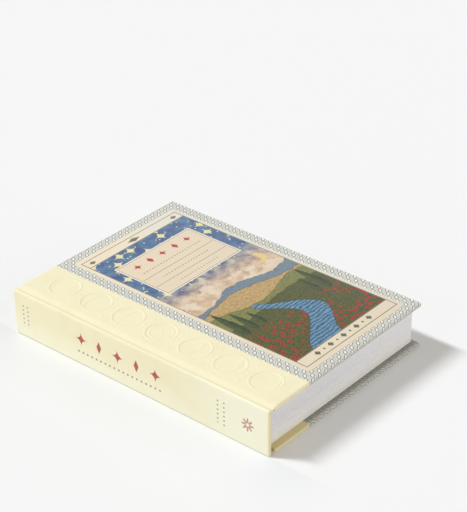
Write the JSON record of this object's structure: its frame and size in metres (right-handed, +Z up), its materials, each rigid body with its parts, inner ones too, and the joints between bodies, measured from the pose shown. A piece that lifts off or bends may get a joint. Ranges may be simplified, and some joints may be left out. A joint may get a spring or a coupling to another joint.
{
  "type": "hardback book",
  "caption": "Quarter-bound hardback book lying closed: cloth spine, patterned side paper and a card plate on the front cover, which opens while the sewn sections fan.",
  "frame": {"origin": "on the underside of the back cover, below the middle of the closed book", "axes": "+Y towards the head, -X towards the spine, +Z up through the front cover"},
  "size_m": [0.183, 0.254, 0.0397],
  "materials": {
    "book_cloth": "cream book cloth, matt, blind-stamped on the front",
    "side_paper": "printed small-pattern paper, satin",
    "card_plate": "printed card, satin",
    "grey_board": "dense grey binder's board",
    "leaves": "white uncoated paper",
    "endpaper": "off-white endpaper",
    "gauze": "open cotton gauze",
    "lining": "brown kraft paper",
    "band": "woven band with a rolled bead",
    "thread": "white sewing thread"
  },
  "bodies": {
    "back_cover": {"back_board": "grey_board", "back_side_paper": "side_paper", "back_strip_cloth": "book_cloth", "back_joint_cloth": "book_cloth", "back_pastedown": "endpaper", "back_flyleaf": "endpaper", "section_25": "leaves", "spine_gauze": "gauze", "spine_lining": "lining", "head_band": "band", "tail_band": "band", "sewing_thread": "thread"},
    "spine_panel": {"spine_board": "grey_board", "spine_cloth": "book_cloth", "front_joint_cloth": "book_cloth"},
    "section_01": {"section_01": "leaves", "front_flyleaf": "endpaper"},
    "section_02": {"section_02": "leaves"},
    "section_03": {"section_03": "leaves"},
    "section_04": {"section_04": "leaves"},
    "section_05": {"section_05": "leaves"},
    "section_06": {"section_06": "leaves"},
    "section_07": {"section_07": "leaves"},
    "section_08": {"section_08": "leaves"},
    "section_09": {"section_09": "leaves"},
    "section_10": {"section_10": "leaves"},
    "section_11": {"section_11": "leaves"},
    "section_12": {"section_12": "leaves"},
    "section_13": {"section_13": "leaves"},
    "section_14": {"section_14": "leaves"},
    "section_15": {"section_15": "leaves"},
    "section_16": {"section_16": "leaves"},
    "section_17": {"section_17": "leaves"},
    "section_18": {"section_18": "leaves"},
    "section_19": {"section_19": "leaves"},
    "section_20": {"section_20": "leaves"},
    "section_21": {"section_21": "leaves"},
    "section_22": {"section_22": "leaves"},
    "section_23": {"section_23": "leaves"},
    "section_24": {"section_24": "leaves"},
    "front_cover": {"front_board": "grey_board", "front_side_paper": "side_paper", "front_card_plate": "card_plate", "front_strip_cloth": "book_cloth", "front_pastedown": "endpaper"}
  },
  "joints": [
    {"name": "book_fan", "type": "hinge", "parent": "back_cover", "child": "spine_panel", "pos_m": [-0.0915, 0, 0], "axis": [0, -1, 0], "range_deg": [0, 25], "deforming": ["back_joint_cloth", "spine_gauze", "spine_lining", "head_band", "tail_band", "sewing_thread"]},
    {"name": "section_01_turn", "type": "hinge", "parent": "spine_panel", "child": "section_01", "pos_m": [-0.0887, 0, 0.039], "axis": [0, -1, 0], "range_deg": [0, 25]},
    {"name": "section_02_turn", "type": "hinge", "parent": "back_cover", "child": "section_02", "pos_m": [-0.09015, 0, 0.01842], "axis": [0, -1, 0], "range_deg": [0, 47.92]},
    {"name": "section_03_turn", "type": "hinge", "parent": "back_cover", "child": "section_03", "pos_m": [-0.09001, 0, 0.01778], "axis": [0, -1, 0], "range_deg": [0, 45.83]},
    {"name": "section_04_turn", "type": "hinge", "parent": "back_cover", "child": "section_04", "pos_m": [-0.08988, 0, 0.01714], "axis": [0, -1, 0], "range_deg": [0, 43.75]},
    {"name": "section_05_turn", "type": "hinge", "parent": "back_cover", "child": "section_05", "pos_m": [-0.08974, 0, 0.0165], "axis": [0, -1, 0], "range_deg": [0, 41.67]},
    {"name": "section_06_turn", "type": "hinge", "parent": "back_cover", "child": "section_06", "pos_m": [-0.0896, 0, 0.01586], "axis": [0, -1, 0], "range_deg": [0, 39.58]},
    {"name": "section_07_turn", "type": "hinge", "parent": "back_cover", "child": "section_07", "pos_m": [-0.08947, 0, 0.01522], "axis": [0, -1, 0], "range_deg": [0, 37.5]},
    {"name": "section_08_turn", "type": "hinge", "parent": "back_cover", "child": "section_08", "pos_m": [-0.08933, 0, 0.01458], "axis": [0, -1, 0], "range_deg": [0, 35.42]},
    {"name": "section_09_turn", "type": "hinge", "parent": "back_cover", "child": "section_09", "pos_m": [-0.08919, 0, 0.01394], "axis": [0, -1, 0], "range_deg": [0, 33.33]},
    {"name": "section_10_turn", "type": "hinge", "parent": "back_cover", "child": "section_10", "pos_m": [-0.08905, 0, 0.0133], "axis": [0, -1, 0], "range_deg": [0, 31.25]},
    {"name": "section_11_turn", "type": "hinge", "parent": "back_cover", "child": "section_11", "pos_m": [-0.08892, 0, 0.01266], "axis": [0, -1, 0], "range_deg": [0, 29.17]},
    {"name": "section_12_turn", "type": "hinge", "parent": "back_cover", "child": "section_12", "pos_m": [-0.08878, 0, 0.01202], "axis": [0, -1, 0], "range_deg": [0, 27.08]},
    {"name": "section_13_turn", "type": "hinge", "parent": "back_cover", "child": "section_13", "pos_m": [-0.08864, 0, 0.01138], "axis": [0, -1, 0], "range_deg": [0, 25]},
    {"name": "section_14_turn", "type": "hinge", "parent": "back_cover", "child": "section_14", "pos_m": [-0.08851, 0, 0.01074], "axis": [0, -1, 0], "range_deg": [0, 22.92]},
    {"name": "section_15_turn", "type": "hinge", "parent": "back_cover", "child": "section_15", "pos_m": [-0.08837, 0, 0.0101], "axis": [0, -1, 0], "range_deg": [0, 20.83]},
    {"name": "section_16_turn", "type": "hinge", "parent": "back_cover", "child": "section_16", "pos_m": [-0.08823, 0, 0.00946], "axis": [0, -1, 0], "range_deg": [0, 18.75]},
    {"name": "section_17_turn", "type": "hinge", "parent": "back_cover", "child": "section_17", "pos_m": [-0.0881, 0, 0.00882], "axis": [0, -1, 0], "range_deg": [0, 16.67]},
    {"name": "section_18_turn", "type": "hinge", "parent": "back_cover", "child": "section_18", "pos_m": [-0.08796, 0, 0.00818], "axis": [0, -1, 0], "range_deg": [0, 14.58]},
    {"name": "section_19_turn", "type": "hinge", "parent": "back_cover", "child": "section_19", "pos_m": [-0.08782, 0, 0.00754], "axis": [0, -1, 0], "range_deg": [0, 12.5]},
    {"name": "section_20_turn", "type": "hinge", "parent": "back_cover", "child": "section_20", "pos_m": [-0.08768, 0, 0.0069], "axis": [0, -1, 0], "range_deg": [0, 10.42]},
    {"name": "section_21_turn", "type": "hinge", "parent": "back_cover", "child": "section_21", "pos_m": [-0.08755, 0, 0.00626], "axis": [0, -1, 0], "range_deg": [0, 8.33]},
    {"name": "section_22_turn", "type": "hinge", "parent": "back_cover", "child": "section_22", "pos_m": [-0.08741, 0, 0.00562], "axis": [0, -1, 0], "range_deg": [0, 6.25]},
    {"name": "section_23_turn", "type": "hinge", "parent": "back_cover", "child": "section_23", "pos_m": [-0.08727, 0, 0.00498], "axis": [0, -1, 0], "range_deg": [0, 4.17]},
    {"name": "section_24_turn", "type": "hinge", "parent": "back_cover", "child": "section_24", "pos_m": [-0.08714, 0, 0.00434], "axis": [0, -1, 0], "range_deg": [0, 2.08]},
    {"name": "front_cover_hinge", "type": "hinge", "parent": "section_01", "child": "front_cover", "pos_m": [-0.0887, 0, 0.039], "axis": [0, -1, 0], "range_deg": [0, 140], "deforming": ["front_joint_cloth"]}
  ],
  "couplings": [
    {"joint": "section_01_turn", "follows": "book_fan", "ratio": 1},
    {"joint": "section_02_turn", "follows": "book_fan", "ratio": 1.9167},
    {"joint": "section_03_turn", "follows": "book_fan", "ratio": 1.8333},
    {"joint": "section_04_turn", "follows": "book_fan", "ratio": 1.75},
    {"joint": "section_05_turn", "follows": "book_fan", "ratio": 1.6667},
    {"joint": "section_06_turn", "follows": "book_fan", "ratio": 1.5833},
    {"joint": "section_07_turn", "follows": "book_fan", "ratio": 1.5},
    {"joint": "section_08_turn", "follows": "book_fan", "ratio": 1.4167},
    {"joint": "section_09_turn", "follows": "book_fan", "ratio": 1.3333},
    {"joint": "section_10_turn", "follows": "book_fan", "ratio": 1.25},
    {"joint": "section_11_turn", "follows": "book_fan", "ratio": 1.1667},
    {"joint": "section_12_turn", "follows": "book_fan", "ratio": 1.0833},
    {"joint": "section_13_turn", "follows": "book_fan", "ratio": 1},
    {"joint": "section_14_turn", "follows": "book_fan", "ratio": 0.91667},
    {"joint": "section_15_turn", "follows": "book_fan", "ratio": 0.83333},
    {"joint": "section_16_turn", "follows": "book_fan", "ratio": 0.75},
    {"joint": "section_17_turn", "follows": "book_fan", "ratio": 0.66667},
    {"joint": "section_18_turn", "follows": "book_fan", "ratio": 0.58333},
    {"joint": "section_19_turn", "follows": "book_fan", "ratio": 0.5},
    {"joint": "section_20_turn", "follows": "book_fan", "ratio": 0.41667},
    {"joint": "section_21_turn", "follows": "book_fan", "ratio": 0.33333},
    {"joint": "section_22_turn", "follows": "book_fan", "ratio": 0.25},
    {"joint": "section_23_turn", "follows": "book_fan", "ratio": 0.16667},
    {"joint": "section_24_turn", "follows": "book_fan", "ratio": 0.083333}
  ]
}
